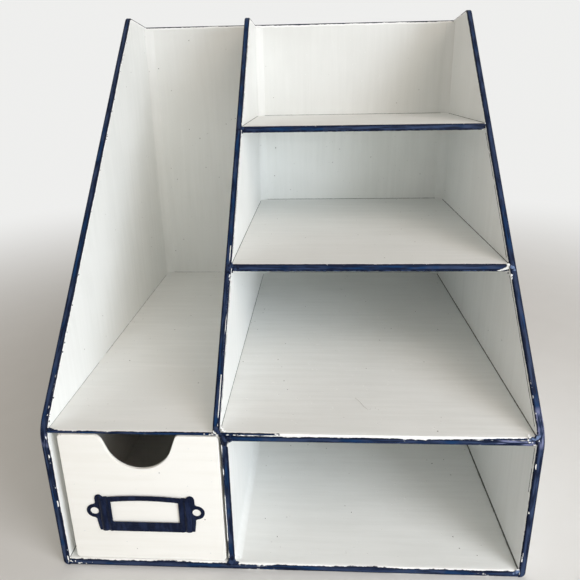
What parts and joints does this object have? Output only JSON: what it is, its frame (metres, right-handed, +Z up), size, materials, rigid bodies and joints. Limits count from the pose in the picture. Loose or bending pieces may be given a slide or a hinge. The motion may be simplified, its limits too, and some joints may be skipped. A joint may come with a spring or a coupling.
{
  "type": "desk organizer",
  "caption": "Painted board envelope sorter: a tall file bay over a small drawer with a label holder, beside stepped open bays, with dark rims.",
  "frame": {"origin": "centre of the underside of the whole object, on the surface it stands on", "axes": "+X to the viewer's right along the front, +Y to the rear, +Z up; the drawer's front faces -Y"},
  "size_m": [0.345, 0.33, 0.4112],
  "materials": {
    "white_board_navy_rims": "hand-painted, satin, navy rims",
    "white_drawer_board": "hand-painted, satin",
    "white_paper_strip": "painted over, matte",
    "navy_metal": "hand-painted, satin"
  },
  "bodies": {
    "case": {"left_side_panel": "white_board_navy_rims", "right_side_panel": "white_board_navy_rims", "upper_divider": "white_board_navy_rims", "back_panel": "white_board_navy_rims", "base_panel": "white_board_navy_rims", "deck_sheet": "white_board_navy_rims", "tray_top_board": "white_board_navy_rims", "lower_divider": "white_board_navy_rims", "middle_shelf": "white_board_navy_rims", "upper_shelf": "white_board_navy_rims", "file_bay_strip_left": "white_paper_strip", "file_bay_strip_right": "white_paper_strip", "upper_bay_strip_left": "white_paper_strip", "upper_bay_strip_right": "white_paper_strip", "middle_bay_strip_left": "white_paper_strip", "middle_bay_strip_right": "white_paper_strip", "lower_bay_strip_left": "white_paper_strip", "lower_bay_strip_right": "white_paper_strip", "tray_floor_strip": "white_paper_strip"},
    "drawer": {"drawer_front": "white_drawer_board", "drawer_left_side": "white_drawer_board", "drawer_right_side": "white_drawer_board", "drawer_back": "white_drawer_board", "drawer_bottom": "white_drawer_board", "label_holder": "navy_metal"}
  },
  "joints": [
    {"name": "drawer_slide", "type": "slide", "parent": "case", "child": "drawer", "axis": [0, -1, 0], "range_m": [0, 0.25]}
  ]
}
